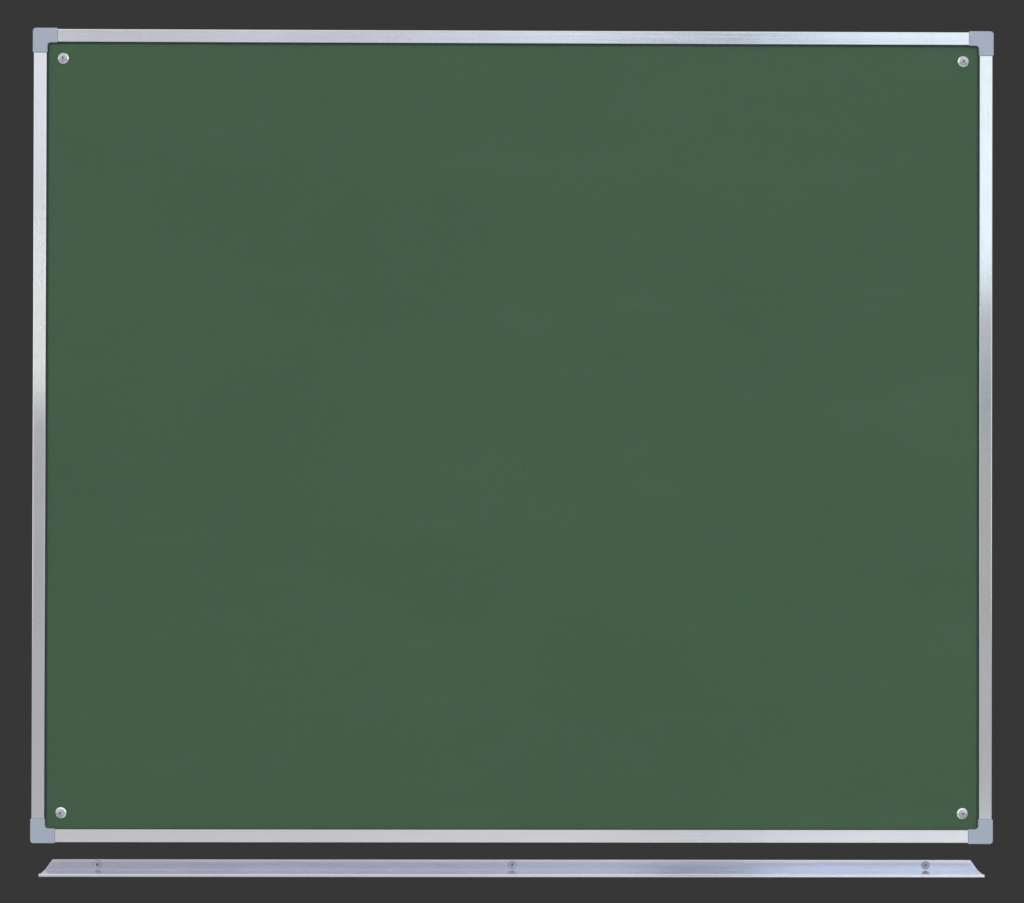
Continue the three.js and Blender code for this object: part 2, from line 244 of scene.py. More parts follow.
# ------------------------------------------------------------------ materials
def enamel():
    """Matt green vitreous enamel: fine fired grain, faint mottling, wiped chalk haze, a painted shade line under the
    frame.
    """
    m = Mat("enamel_green").set(metallic=0.0, specular=0.26)
    fine = m.noise(620, 2.5, 0.6)
    mottle = m.noise(42, 5, 0.62, distortion=0.4)
    cloud = m.noise(3.1, 3, 0.5, vec=m.vec(loc=(3.7, 0, 1.2)))
    base = m.mix(m.remap(mottle, 0.34, 0.66, 0, 1), (0.0550, 0.1235, 0.0612), (0.0620, 0.1240, 0.0665))
    base = m.scale_color(base, m.remap(fine, 0.3, 0.7, 0.93, 1.07))
    base = m.scale_color(base, m.remap(cloud, 0.3, 0.7, 0.965, 1.035))
    # Haze of chalk left by the duster: long soft sweeps at two angles.
    w1 = m.noise(1.0, 4, 0.55, vec=m.vec(scale=(3.2, 1, 17), rot=(0, math.radians(14), 0)))
    w2 = m.noise(1.0, 4, 0.55, vec=m.vec(scale=(4.5, 1, 21), rot=(0, math.radians(-23), 0), loc=(5, 0, 2)))
    sweep = m.math("ADD", m.remap(w1, 0.5, 0.78, 0, 1, True), m.remap(w2, 0.52, 0.8, 0, 0.8, True))
    dust = m.math("MULTIPLY", sweep, m.remap(m.noise(240, 3, 0.7), 0.35, 0.7, 0.45, 1.0))
    base = m.mix(m.math("MULTIPLY", dust, 0.024), base, (0.46, 0.50, 0.47))
    # Painted shade line: the sheet darkens within a few millimetres of the frame, as under the frame's shadow, and only
    # a quarter as much along the bottom edge, which is lit from above.
    x, _, z = m.separate()
    dx = m.math("SUBTRACT", FRAME_W / 2 * MM - FACE * MM, m.math("ABSOLUTE", x))
    dz = m.math("SUBTRACT", FRAME_H / 2 * MM - FACE * MM, m.math("ABSOLUTE", z))
    ragged = m.math("MULTIPLY", m.math("SUBTRACT", m.noise(55, 3, 0.6), 0.5), 0.0016)
    edge = m.math("ADD", m.math("MINIMUM", dx, dz), ragged)
    line = m.remap(edge, 0.0012, 0.0044, 1.0, 0.0, True)
    low = m.remap(z, -0.4885, -0.4860, 0.25, 1.0)
    base = m.mix(m.math("MULTIPLY", m.math("MULTIPLY", line, low), 0.72), base, (0.012, 0.028, 0.042))
    m.color(base)
    m.rough(m.math("ADD", m.remap(fine, 0.3, 0.7, 0.50, 0.62), m.math("MULTIPLY", dust, 0.08)))
    grain = m.bump(m.noise(1900, 2, 0.5), 0.28, 0.00004)
    peel = m.bump(m.noise(210, 2, 0.4), 0.22, 0.00006, grain)
    m.normal(peel)
    return m.mat


def aluminium(name, axis, tint=(0.86, 0.865, 0.885), rough=0.16, aniso=1.0, dusty=False, die_depth=0.00005, wave=0.5):
    """Satin anodised extrusion: fine die lines along the length, soft handling marks, tiny pits."""
    m = Mat(name).set(metallic=1.0, aniso=aniso)
    ax = {"x": (0.6, 1.0, 1.0), "z": (1.0, 1.0, 0.6)}[axis]

    def along(k, stretch=0.004):
        return tuple(k if v == 1.0 else v * k * stretch for v in ax)

    die = m.noise(1.0, 3, 0.62, vec=m.vec(scale=along(2600, 0.0008)))
    wide = m.noise(1.0, 2, 0.5, vec=m.vec(scale=along(300, 0.003), loc=(2, 1, 7)))
    smear = m.noise(7, 4, 0.6, distortion=0.6)
    blotch = m.noise(2.4, 2, 0.5, vec=m.vec(loc=(1.7, 0, 4.1)))
    col = m.mix(m.remap(blotch, 0.3, 0.7, 0, 1), tint, tuple(c * k for c, k in zip(tint, (0.985, 0.99, 1.01))))
    col = m.scale_color(col, m.remap(wide, 0.3, 0.7, 0.975, 1.015))
    col = m.scale_color(col, m.remap(smear, 0.35, 0.7, 1.0, 0.97))
    pits = m.voronoi(310, output="Distance")
    pit = m.math("MULTIPLY", m.remap(pits, 0.05, 0.16, 1, 0), m.remap(m.noise(24, 2), 0.6, 0.68, 0, 1))
    col = m.mix(m.math("MULTIPLY", pit, 0.22), col, (0.38, 0.38, 0.40))
    r = m.math("ADD", m.remap(die, 0.3, 0.7, rough - 0.015, rough + 0.015), m.remap(smear, 0.42, 0.75, 0.0, 0.05))
    if dusty:
        up = m.remap(m.normal_z(), 0.55, 0.9, 0, 1)
        powder = m.math("MULTIPLY", m.remap(m.noise(26, 5, 0.68, distortion=0.5), 0.42, 0.72, 0, 1, True), up)
        powder = m.math("MULTIPLY", powder, m.remap(m.noise(900, 2, 0.6), 0.35, 0.62, 0.3, 1.0))
        col = m.mix(m.math("MULTIPLY", powder, 0.12), col, (0.80, 0.81, 0.82))
        r = m.math("ADD", r, m.math("MULTIPLY", powder, 0.10))
        m.metal(m.math("SUBTRACT", 1.0, m.math("MULTIPLY", powder, 0.10)))
    m.color(col)
    m.rough(r)
    b = m.bump(die, 1.0, die_depth)
    b = m.bump(wide, wave, 0.00002, b)
    m.normal(m.bump(m.math("SUBTRACT", 1.0, pit), 0.3, 0.00003, b))
    # The highlight is drawn out across the die lines, so the tangent lies across them.
    m.tangent_across({"x": (1, 0, 0), "z": (0, 0, 1)}[axis])
    return m.mat


def cap_plastic():
    """Moulded blue-grey plastic with an eroded-tool texture and scuffs."""
    m = Mat("cap_plastic").set(metallic=0.0, specular=0.45, ior=1.49)
    tone = m.noise(55, 4, 0.6, distortion=0.5)
    fine = m.noise(1300, 2, 0.6)
    base = m.mix(m.remap(tone, 0.32, 0.68, 0, 1), (0.445, 0.505, 0.620), (0.460, 0.510, 0.625))
    base = m.scale_color(base, m.remap(fine, 0.3, 0.7, 0.965, 1.03))
    scuff = m.noise(1.0, 3, 0.6, vec=m.vec(scale=(60, 60, 520), rot=(0, math.radians(33), 0)))
    marks = m.math("MULTIPLY", m.remap(scuff, 0.66, 0.74, 0, 1), m.remap(m.noise(45, 2), 0.5, 0.62, 0, 1))
    base = m.mix(m.math("MULTIPLY", marks, 0.22), base, (0.62, 0.66, 0.72))
    m.color(base)
    m.rough(m.math("ADD", m.remap(fine, 0.3, 0.7, 0.40, 0.52), m.math("MULTIPLY", marks, -0.06)))
    b = m.bump(fine, 0.35, 0.00004)
    m.normal(m.bump(tone, 0.2, 0.00008, b))
    return m.mat


def plated(name, a, b, rough, mark=0.05):
    """Bright plated steel, turned or pressed: cloudy sheen, hairlines, specks of tarnish."""
    m = Mat(name).set(metallic=1.0)
    cloud = m.noise(420, 4, 0.6, distortion=0.8)
    hair = m.noise(1.0, 3, 0.7, vec=m.vec(scale=(5200, 900, 700), rot=(0, math.radians(28), 0)))
    speck = m.voronoi(1500, output="Distance")
    spots = m.math("MULTIPLY", m.remap(speck, 0.08, 0.2, 1, 0), m.remap(m.noise(180, 2), 0.52, 0.64, 0, 1))
    col = m.mix(m.remap(cloud, 0.3, 0.7, 0, 1), a, b)
    col = m.mix(m.math("MULTIPLY", spots, 0.5), col, tuple(c * 0.45 for c in a))
    m.color(col)
    m.rough(m.math("ADD", m.remap(hair, 0.3, 0.7, rough - 0.05, rough + 0.06), m.math("MULTIPLY", spots, 0.2)))
    n = m.bump(hair, mark, 0.000015)
    m.normal(m.bump(cloud, 0.12, 0.00002, n))
    return m.mat


def galvanised():
    """Hot-dip galvanised sheet: flat angular spangle of mixed tones, rolling lines and faint white bloom."""
    m = Mat("galvanised_sheet").set(metallic=0.92)
    warp = m.mix(0.012, m.coord, m.scale_color(m.voronoi(9, output="Color"), 1.0), "ADD")
    cells = m.separate(m.voronoi(88, vec=warp))
    fern = m.noise(1.0, 4, 0.7, vec=m.vec(scale=(260, 40, 700)))
    tone = m.math("ADD", m.math("MULTIPLY", cells[0], 0.72), m.math("MULTIPLY", fern, 0.28))
    col = m.mix(m.remap(tone, 0.15, 0.85, 0, 1), (0.47, 0.49, 0.51), (0.63, 0.645, 0.655))
    bloom = m.remap(m.noise(5.5, 5, 0.65, distortion=0.8), 0.56, 0.75, 0, 1, True)
    col = m.mix(m.math("MULTIPLY", bloom, 0.22), col, (0.66, 0.67, 0.67))
    m.color(col)
    m.rough(m.math("ADD", m.remap(cells[1], 0, 1, 0.34, 0.50), m.math("MULTIPLY", bloom, 0.14)))
    roll = m.noise(1.0, 2, 0.6, vec=m.vec(scale=(1.2, 50, 600)))
    b = m.bump(roll, 0.16, 0.00002)
    m.normal(m.bump(cells[2], 0.10, 0.00002, b))
    return m.mat


def fibreboard():
    m = Mat("fibreboard_core").set(metallic=0.0, specular=0.2)
    fibre = m.noise(1.0, 5, 0.7, vec=m.vec(scale=(260, 900, 900), rot=(0, 0.3, 0.2)))
    chips = m.noise(90, 5, 0.65, distortion=1.2)
    col = m.mix(m.remap(fibre, 0.3, 0.7, 0, 1), (0.22, 0.13, 0.065), (0.40, 0.27, 0.15))
    col = m.scale_color(col, m.remap(chips, 0.3, 0.7, 0.8, 1.15))
    m.color(col)
    m.rough(m.remap(chips, 0.3, 0.7, 0.8, 0.95))
    m.normal(m.bump(fibre, 0.5, 0.0003))
    return m.mat


ENAMEL = enamel()
ALU_X = aluminium("frame_aluminium_along", "x")
ALU_Z = aluminium("frame_aluminium_upright", "z")
# The tray's tint is bluer than the frame's: a painted reflection of bluish light.
ALU_TRAY = aluminium("tray_aluminium", "x", tint=(0.785, 0.785, 0.855), rough=0.14, aniso=0.6, dusty=True, die_depth=0.000006, wave=0.05)
# The countersink walls of the tray's holes are darkened: painted shade round the tray screws.
ALU_CUT = aluminium("aluminium_countersink_shade", "x", tint=(0.40, 0.41, 0.44), rough=0.4, aniso=0.0)
CAP = cap_plastic()
NICKEL = plated("nickel_plate", (0.82, 0.84, 0.855), (0.88, 0.895, 0.91), 0.20)
SCREW_PLATE = plated("screw_plate", (0.50, 0.535, 0.59), (0.58, 0.61, 0.65), 0.30)
SCREW_PALE = plated("screw_plate_pale", (0.56, 0.59, 0.645), (0.63, 0.66, 0.70), 0.30)
SCREW_DULL = plated("screw_plate_dull", (0.47, 0.48, 0.54), (0.55, 0.565, 0.62), 0.36)
# Darker platings for the walls of the cross recesses: painted shade; the second also stands for some dust.
RECESS_DARK = plated("dark_recess_shade", (0.30, 0.325, 0.36), (0.38, 0.40, 0.435), 0.45)
NICKEL_DEEP = plated("nickel_recess_shade_and_dust", (0.42, 0.44, 0.475), (0.50, 0.515, 0.54), 0.45)
ZINC = plated("zinc_plate", (0.60, 0.63, 0.66), (0.70, 0.69, 0.62), 0.30, 0.12)
GALV = galvanised()
FIBRE = fibreboard()


# ------------------------------------------------------------------ mesh helpers
def crease(me, degrees):
    """Smooth faces, with every edge sharper than this kept hard."""
    bm = bmesh.new()
    bm.from_mesh(me)
    lim = math.radians(degrees)
    for f in bm.faces:
        f.smooth = True
    for e in bm.edges:
        e.smooth = not (len(e.link_faces) == 2 and e.calc_face_angle(0.0) > lim)
    bm.to_mesh(me)
    bm.free()


def tidy(me, dist=1e-7):
    bm = bmesh.new()
    bm.from_mesh(me)
    bmesh.ops.remove_doubles(bm, verts=bm.verts, dist=dist)
    bmesh.ops.dissolve_degenerate(bm, edges=bm.edges, dist=dist)
    bmesh.ops.recalc_face_normals(bm, faces=bm.faces)
    bm.to_mesh(me)
    bm.free()


def piece(name, verts, faces, mat, sharp=40.0):
    """A mesh object from points in millimetres."""
    me = bpy.data.meshes.new(name)
    me.from_pydata([tuple(float(c) * MM for c in v) for v in verts], [], [tuple(f) for f in faces])
    tidy(me)
    me.materials.append(mat)
    ob = bpy.data.objects.new(name, me)
    scene.collection.objects.link(ob)
    crease(me, sharp)
    return ob


def settle(ob, sharp=40.0):
    """Applies an object's modifiers to its mesh."""
    dg = bpy.context.evaluated_depsgraph_get()
    me = bpy.data.meshes.new_from_object(ob.evaluated_get(dg))
    ob.modifiers.clear()
    old = ob.data
    ob.data = me
    bpy.data.meshes.remove(old)
    if sharp is not None:
        crease(me, sharp)
    return ob


def boolean(ob, tool, op="DIFFERENCE"):
    m = ob.modifiers.new("b", "BOOLEAN")
    m.operation = op
    m.solver = "MANIFOLD"
    m.object = tool
    settle(ob, None)
    bpy.data.objects.remove(tool)
    return ob


def soften(ob, width, segments=2, angle=30.0, sharp=40.0):
    """Rounds the hard edges by width (mm) and keeps the flats flat in shading."""
    b = ob.modifiers.new("bevel", "BEVEL")
    b.width = width * MM
    b.segments = segments
    b.limit_method = "ANGLE"
    b.angle_limit = math.radians(angle)
    b.use_clamp_overlap = True
    b.miter_outer = "MITER_ARC"
    w = ob.modifiers.new("weighted", "WEIGHTED_NORMAL")
    w.keep_sharp = True
    w.weight = 100
    dg = bpy.context.evaluated_depsgraph_get()
    me = bpy.data.meshes.new_from_object(ob.evaluated_get(dg))
    ob.modifiers.clear()
    old = ob.data
    ob.data = me
    bpy.data.meshes.remove(old)
    return ob


def flats(ob):
    """Weighted normals alone: flat faces next to small rounds keep an even shade."""
    w = ob.modifiers.new("weighted", "WEIGHTED_NORMAL")
    w.keep_sharp = True
    w.weight = 100
    dg = bpy.context.evaluated_depsgraph_get()
    me = bpy.data.meshes.new_from_object(ob.evaluated_get(dg))
    ob.modifiers.clear()
    old = ob.data
    ob.data = me
    bpy.data.meshes.remove(old)
    return ob


def copy_of(ob, name, at=(0, 0, 0), turn=0.0):
    """A copy whose mesh is turned about Y and moved (mm); the object stays at the origin."""
    me = ob.data.copy()
    me.transform(Matrix.Translation(Vector(at) * MM) @ Matrix.Rotation(turn, 4, "Y"))
    new = bpy.data.objects.new(name, me)
    scene.collection.objects.link(new)
    return new


def arc(cx, cy, r, a0, a1, n):
    """Points of an arc in degrees, ends included."""
    return [(cx + r * math.cos(math.radians(a0 + (a1 - a0) * i / n)),
             cy + r * math.sin(math.radians(a0 + (a1 - a0) * i / n))) for i in range(n + 1)]


def inset(points, d):
    """A closed counter-clockwise outline moved inward by d."""
    p = np.array(points, float)
    a, b = np.roll(p, 1, 0), np.roll(p, -1, 0)
    e1, e2 = p - a, b - p
    e1 /= np.linalg.norm(e1, axis=1)[:, None]
    e2 /= np.linalg.norm(e2, axis=1)[:, None]
    n1 = np.stack([-e1[:, 1], e1[:, 0]], 1)
    n2 = np.stack([-e2[:, 1], e2[:, 0]], 1)
    n = n1 + n2
    n /= np.maximum((n * n1).sum(1), 0.2)[:, None] * 1.0
    return p + n * d


def plate(name, outline, y_front, y_rear, mat, r_front=0.0, r_rear=0.0, steps=5):
    """An outline in (x, z), counter-clockwise, given thickness, with rounded front and rear edges."""
    rings = []
    if r_front:
        for i in range(steps + 1):
            a = math.pi / 2 * i / steps
            rings.append((inset(outline, r_front * (1 - math.sin(a))), y_front + r_front * (1 - math.cos(a))))
    else:
        rings.append((np.array(outline, float), y_front))
    if r_rear:
        for i in range(steps + 1):
            a = math.pi / 2 * i / steps
            rings.append((inset(outline, r_rear * (1 - math.cos(a))), y_rear - r_rear * (1 - math.sin(a))))
    else:
        rings.append((np.array(outline, float), y_rear))
    n = len(outline)
    verts = [(x, y, z) for ring, y in rings for x, z in ring]
    faces = []
    for k in range(len(rings) - 1):
        for i in range(n):
            j = (i + 1) % n
            faces.append((k * n + i, k * n + j, (k + 1) * n + j, (k + 1) * n + i))
    faces.append(tuple(range(n))[::-1])
    last = (len(rings) - 1) * n
    faces.append(tuple(last + i for i in range(n)))
    return piece(name, verts, faces, mat)


def block(x0, x1, y0, y1, z0, z1, taper=0.0):
    """A cutter box; taper draws its front end (low y) in on all sides."""
    t = taper
    v = [(x0 + t, y0, z0 + t), (x1 - t, y0, z0 + t), (x1 - t, y0, z1 - t), (x0 + t, y0, z1 - t),
         (x0, y1, z0), (x1, y1, z0), (x1, y1, z1), (x0, y1, z1)]
    f = [(0, 1, 2, 3), (7, 6, 5, 4), (0, 4, 5, 1), (1, 5, 6, 2), (2, 6, 7, 3), (3, 7, 4, 0)]
    return piece("cutter", v, f, CAP)


def lathe(name, rows, sides, mat, closed=False, sharp=30.0, center=(0.0, 0.0), wobble=None):
    """Rows of (radius, y) turned about an axis along Y. A radius of 0 at an end is a pole; closed joins the last row to the first."""
    cx, cz = center
    verts, idx = [], []
    for k, (r, y) in enumerate(rows):
        if r == 0:
            idx.append([len(verts)] * sides)
            verts.append((cx, y, cz))
            continue
        row = []
        for j in range(sides):
            a = 2 * math.pi * j / sides
            rr = r if wobble is None else wobble(r, y, a)
            row.append(len(verts))
            verts.append((cx + rr * math.cos(a), y, cz + rr * math.sin(a)))
        idx.append(row)
    faces = []
    pairs = list(zip(idx, idx[1:])) + ([(idx[-1], idx[0])] if closed else [])
    for a, b in pairs:
        for j in range(sides):
            k = (j + 1) % sides
            f = []
            for v in (a[j], a[k], b[k], b[j]):
                if v not in f:
                    f.append(v)
            if len(f) > 2:
                faces.append(f)
    return piece(name, verts, faces, mat, sharp)


def extrude_x(name, section, x0, x1, mat, hole=None, sharp=35.0):
    """A (y, z) section, counter-clockwise seen from +X, drawn along X. hole is an inner loop through its whole length."""
    n = len(section)
    verts = [(x0, y, z) for y, z in section] + [(x1, y, z) for y, z in section]
    faces = [(i, (i + 1) % n, n + (i + 1) % n, n + i) for i in range(n)]
    if hole is None:
        faces += [tuple(range(n))[::-1], tuple(n + i for i in range(n))]
        return piece(name, verts, faces, mat, sharp)
    me = bpy.data.meshes.new(name)
    bm = bmesh.new()
    ends = []
    for x in (x0, x1):
        loops = []
        for loop in (section, hole):
            vs = [bm.verts.new((x * MM, y * MM, z * MM)) for y, z in loop]
            es = [bm.edges.new((vs[i], vs[(i + 1) % len(vs)])) for i in range(len(vs))]
            loops.append((vs, es))
        bmesh.ops.triangle_fill(bm, use_beauty=True, edges=loops[0][1] + loops[1][1])
        ends.append(loops)
    for (va, _), (vb, _) in zip(ends[0], ends[1]):
        k = len(va)
        for i in range(k):
            bm.faces.new((va[i], va[(i + 1) % k], vb[(i + 1) % k], vb[i]))
    bmesh.ops.recalc_face_normals(bm, faces=bm.faces)
    bm.to_mesh(me)
    bm.free()
    me.materials.append(mat)
    ob = bpy.data.objects.new(name, me)
    scene.collection.objects.link(ob)
    crease(me, sharp)
    return ob


def shown(ob, node):
    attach(ob, "root")
    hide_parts(node)
    return ob


def paint(node, mat):
    ob = NODES[node]
    if not ob.data.materials:
        ob.data.materials.append(mat)
    for i in range(len(ob.data.materials)):
        ob.data.materials[i] = mat
    for i in range(len(ob.material_slots)):
        ob.material_slots[i].material = mat


# ------------------------------------------------------------------ panel
paint("writing_sheet", ENAMEL)
paint("back_sheet", GALV)
paint("core_board", FIBRE)


# ------------------------------------------------------------------ frame profiles
def profile_section():
    f, b, r, t = FRAME_FRONT, FRAME_BACK, 1.2, 0.7
    s = []
    s += arc(f + r, -r, r, 180, 90, 6)                  # outer front edge
    s += arc(b - r, -r, r, 90, 0, 6)                    # outer rear edge
    s += arc(b - t, -FACE + t, t, 0, -90, 5)            # rear flange tip
    s += [(CH_REAR, -FACE), (CH_REAR, -CHANNEL_AT - 0.3), (CH_REAR - 0.3, -CHANNEL_AT)]
    s += [(CH_FRONT + 0.3, -CHANNEL_AT), (CH_FRONT, -CHANNEL_AT - 0.3), (CH_FRONT, -FACE + 0.25), (CH_FRONT - 0.25, -FACE)]
    s += arc(f + t, -FACE + t, t, 270, 180, 5)          # front flange tip
    hole = []
    k = 0.4
    y0, y1, z0, z1 = CH_FRONT, CH_REAR, -OUTER_WALL - CHAMBER, -OUTER_WALL
    for cy, cz, a in ((y0 + k, z1 - k, 180), (y1 - k, z1 - k, 90), (y1 - k, z0 + k, 0), (y0 + k, z0 + k, -90)):
        hole += arc(cy, cz, k, a, a - 90, 3)
    return s, hole


CHAMBER_MID = OUTER_WALL + CHAMBER / 2


def rear_cutter(x):
    r, w = 3.15, REAR_WALL
    rows = [(0, CH_REAR - 1), (r - w, CH_REAR - 1), (r - w, CH_REAR), (r, FRAME_BACK), (r, FRAME_BACK + 1), (0, FRAME_BACK + 1)]
    return lathe("cutter", rows, 40, ALU_X, center=(x, -CHAMBER_MID))


def make_profile(name, length, mat):
    s, hole = profile_section()
    ob = extrude_x(name, s, -length / 2, length / 2, mat, hole)
    at = length / 2 - 11.7
    for x in (-at, at):
        boolean(ob, rear_cutter(x))
    crease(ob.data, 35)
    return flats(ob)


LONG = FRAME_W - 2 * (CAP_LEG + 0.3)
SHORT = FRAME_H - 2 * (CAP_LEG + 0.3)
long_one = make_profile("profile_long", LONG, ALU_X)
short_one = make_profile("profile_short", SHORT, ALU_Z)
for name, src, at, turn in (
        ("frame_top", long_one, (0, 0, FRAME_H / 2), 0.0),
        ("frame_bottom", long_one, (0, 0, -FRAME_H / 2), math.pi),
        ("frame_right", short_one, (FRAME_W / 2, 0, 0), math.pi / 2),
        ("frame_left", short_one, (-FRAME_W / 2, 0, 0), -math.pi / 2)):
    shown(copy_of(src, name + "_profile", at, turn), name)
bpy.data.objects.remove(long_one)
bpy.data.objects.remove(short_one)


# ------------------------------------------------------------------ corner caps
def make_cap():
    """The top right cap, with the frame's outer corner at x = 0, z = 0."""
    e, w, n, R, r = CAP_PROUD, CAP_ARM, CAP_LEG, 4.0, 4.0
    q = 1.1
    outline = []
    outline += arc(-n + q, e - q, q, 90, 180, 4)
    outline += arc(-n + q, -w + q, q, 180, 270, 4)
    outline += arc(-w - r, -w - r, r, 90, 0, 8)
    outline += arc(-w + q, -n + q, q, 180, 270, 4)
    outline += arc(e - q, -n + q, q, 270, 360, 4)
    outline += arc(e - R, e - R, R, 0, 90, 10)
    outline = [(float(a), float(b)) for a, b in outline]
    ob = plate("cap", outline, CAP_FRONT, 0.0, CAP, r_front=0.9, r_rear=0.6, steps=5)
    t0, t1 = OUTER_WALL + 0.3, OUTER_WALL + CHAMBER - 0.3
    y0, y1 = CH_FRONT + 0.3, CH_REAR - 0.3
    a, end = n - 1.0, n + 22.0
    for b in ((-end, -a, y0, y1, -t1, -t0), (-t1, -t0, y0, y1, -end, -a)):
        boolean(ob, block(*b), "UNION")
    boolean(ob, block(-n - 1, -CHANNEL_AT, CH_FRONT, CH_REAR, -n - 1, -CHANNEL_AT))
    p0, p1, yp = 2.0 - CAP_PROUD, CHANNEL_AT - 2.0, CAP_FRONT + 2.2
    corner = block(-11.5, -p0, yp, 1, -p1, -p0, 0.15)
    boolean(ob, corner)
    boolean(ob, block(-p1, -p0, yp, 1, -11.5, -p0 - 0.05, 0.15))
    for s0, s1 in ((13.1, 19.5), (21.1, n - 2.0)):
        boolean(ob, block(-s1, -s0, yp, 1, -p1, -p0, 0.15))
        boolean(ob, block(-p1, -p0, yp, 1, -s1, -s0, 0.15))
    at = n + 12.0
    for x, z in ((-at, -CHAMBER_MID), (-CHAMBER_MID, -at)):
        boolean(ob, lathe("cutter", [(0, -11.2), (1.6, -11.2), (1.6, 1.0), (0, 1.0)], 24, CAP, center=(x, z)))
    tidy(ob.data)
    crease(ob.data, 32)
    return flats(ob)


CORNERS = {
    "top_right": (1, 1, 0.0), "bottom_right": (1, -1, math.pi / 2),
    "bottom_left": (-1, -1, math.pi), "top_left": (-1, 1, -math.pi / 2),
}
cap = make_cap()
for where, (sx, sz, turn) in CORNERS.items():
    shown(copy_of(cap, f"cap_{where}", (sx * FRAME_W / 2, 0, sz * FRAME_H / 2), turn), f"corner_cap_{where}")
bpy.data.objects.remove(cap)


# ------------------------------------------------------------------ screws and washers
def recess(ob, y, reach, depth, wing=1.05, facing=-1, bowl=0.36, deep=None):
    """Cuts a tapered cross recess into a head whose top is at y, and gives its walls the darker plating deep: painted
    shade in the recess, which by default also stands for some dust.

    facing is -1 for a head that faces -Y. bowl is the radius of the round middle, as a share of the reach.
    """
    for turn in (0.0, math.pi / 2):
        top, low = reach, reach * 0.42
        over = 1.2
        slope = (top - low) / depth
        ya, yb = y + facing * over, y - facing * depth
        ta, tb = top + slope * over, low
        wa, wb = wing / 2 + 0.05, wing / 2 - 0.1
        v = [(-ta, ya, -wa), (ta, ya, -wa), (ta, ya, wa), (-ta, ya, wa), (-tb, yb, -wb), (tb, yb, -wb), (tb, yb, wb), (-tb, yb, wb)]
        f = [(0, 1, 2, 3), (7, 6, 5, 4), (0, 4, 5, 1), (1, 5, 6, 2), (2, 6, 7, 3), (3, 7, 4, 0)]
        c = piece("cutter", v, f, NICKEL)
        c.data.transform(Matrix.Rotation(turn, 4, "Y"))
        boolean(ob, c)
    r = reach * bowl
    rows = [(0, y - facing * depth * 1.12), (r * 0.72, y - facing * depth * 0.92), (r * 1.12, y + facing * 0.9), (0, y + facing * 0.9)]
    boolean(ob, lathe("cutter", rows, 24, NICKEL))
    # The recess walls take the darker plating: painted shade.
    ob.data.materials.append(deep or NICKEL_DEEP)
    last = len(ob.data.materials) - 1
    for p in ob.data.polygons:
        radial = math.hypot(p.center.x, p.center.z) / MM
        inward = (p.center.y / MM - y) * -facing
        if radial < reach * 1.01 and 0.02 < inward < depth * 1.2 and p.area < 3e-5:
            steep = abs(p.normal.y) < 0.93 or inward > depth * 0.8
            if steep:
                p.material_index = last
    return ob


def screw_rows(head_rows, r_core, r_thread, y_head_end, y_tip, pitch, plain, point=6.5):
    """Rows from the head down the shank: a short plain neck, the thread, and the tapered tip, point long."""
    rows = list(head_rows)
    y = y_head_end
    rows.append((r_thread * 0.93, y + 0.4))
    rows.append((r_thread * 0.93, y + plain))
    start = y + plain
    n = int((y_tip - start) / (pitch / 10))
    for i in range(1, n):
        rows.append((1.0, start + (y_tip - start) * i / n))
    rows.append((0, y_tip))
    def wobble(r, yy, a):
        if r != 1.0 or yy <= start:
            return r
        taper = min(1.0, max(0.04, (y_tip - yy) / point)) ** 0.85
        run_in = min(1.0, (yy - start) / pitch)
        ph = ((yy - start) / pitch - a / (2 * math.pi)) % 1.0
        crest = max(0.0, 1.0 - abs(ph - 0.5) / 0.30) ** 1.15
        core = r_core + (r_thread * 0.93 - r_core) * (1 - run_in)
        return (core + (r_thread - core) * crest * (0.15 + 0.85 * run_in)) * taper
    return rows, wobble


def make_wall_screw():
    s = SHEET_FRONT
    head = [(0, s - 3.62), (0.8, s - 3.60), (1.6, s - 3.54), (2.4, s - 3.43), (3.1, s - 3.28), (3.8, s - 3.08), (4.35, s - 2.84), (4.62, s - 2.68),
            (4.70, s - 2.55), (4.66, s - 2.44), (2.45, s - 0.50)]
    rows, wob = screw_rows(head, 1.75, 2.45, s - 0.5, 32.8, 2.4, 9.0)
    ob = lathe("screw", rows, 40, SCREW_PLATE, wobble=wob, sharp=50)
    recess(ob, s - 3.50, 2.30, 2.1, wing=0.95, bowl=0.40)
    crease(ob.data, 42)
    return ob


def make_cup_washer():
    """Pressed cup: a foot on the panel, a domed flank, a rolled rim and a countersunk seat."""
    s = SHEET_FRONT
    rows = [(7.15, s - 0.30), (7.24, s - 0.40), (7.25, s - 0.54), (7.18, s - 0.70), (7.04, s - 0.84), (6.84, s - 1.03), (6.60, s - 1.27),
            (6.34, s - 1.53), (6.08, s - 1.78), (5.84, s - 2.00), (5.62, s - 2.17), (5.42, s - 2.28), (5.24, s - 2.33), (5.08, s - 2.31),
            (4.94, s - 2.22), (4.82, s - 2.08), (3.85, s - 1.20), (2.95, s - 0.62), (2.95, s - 0.34), (3.20, s - 0.34), (4.05, s - 0.78),
            (4.95, s - 1.56), (5.22, s - 1.78), (5.46, s - 1.70), (5.80, s - 1.36), (6.15, s - 1.00), (6.45, s - 0.68), (6.75, s - 0.40),
            (6.90, s - 0.30)]
    return lathe("washer", rows, 72, NICKEL, closed=True, sharp=55)


def make_tray_screw(bowl, plating):
    y = -TRAY_T + 0.1
    head = [(0, y), (2.2, y), (4.30, y), (4.42, y + 0.06), (4.45, y + 0.16), (2.45, y + 2.10)]
    rows, wob = screw_rows(head, 1.75, 2.45, y + 2.10, 33.0, 2.4, 3.0, point=13.5)
    ob = lathe("screw", rows, 40, plating, wobble=wob, sharp=50)
    recess(ob, y, 2.20, 2.2, wing=1.0, bowl=bowl, deep=RECESS_DARK)
    crease(ob.data, 42)
    return ob


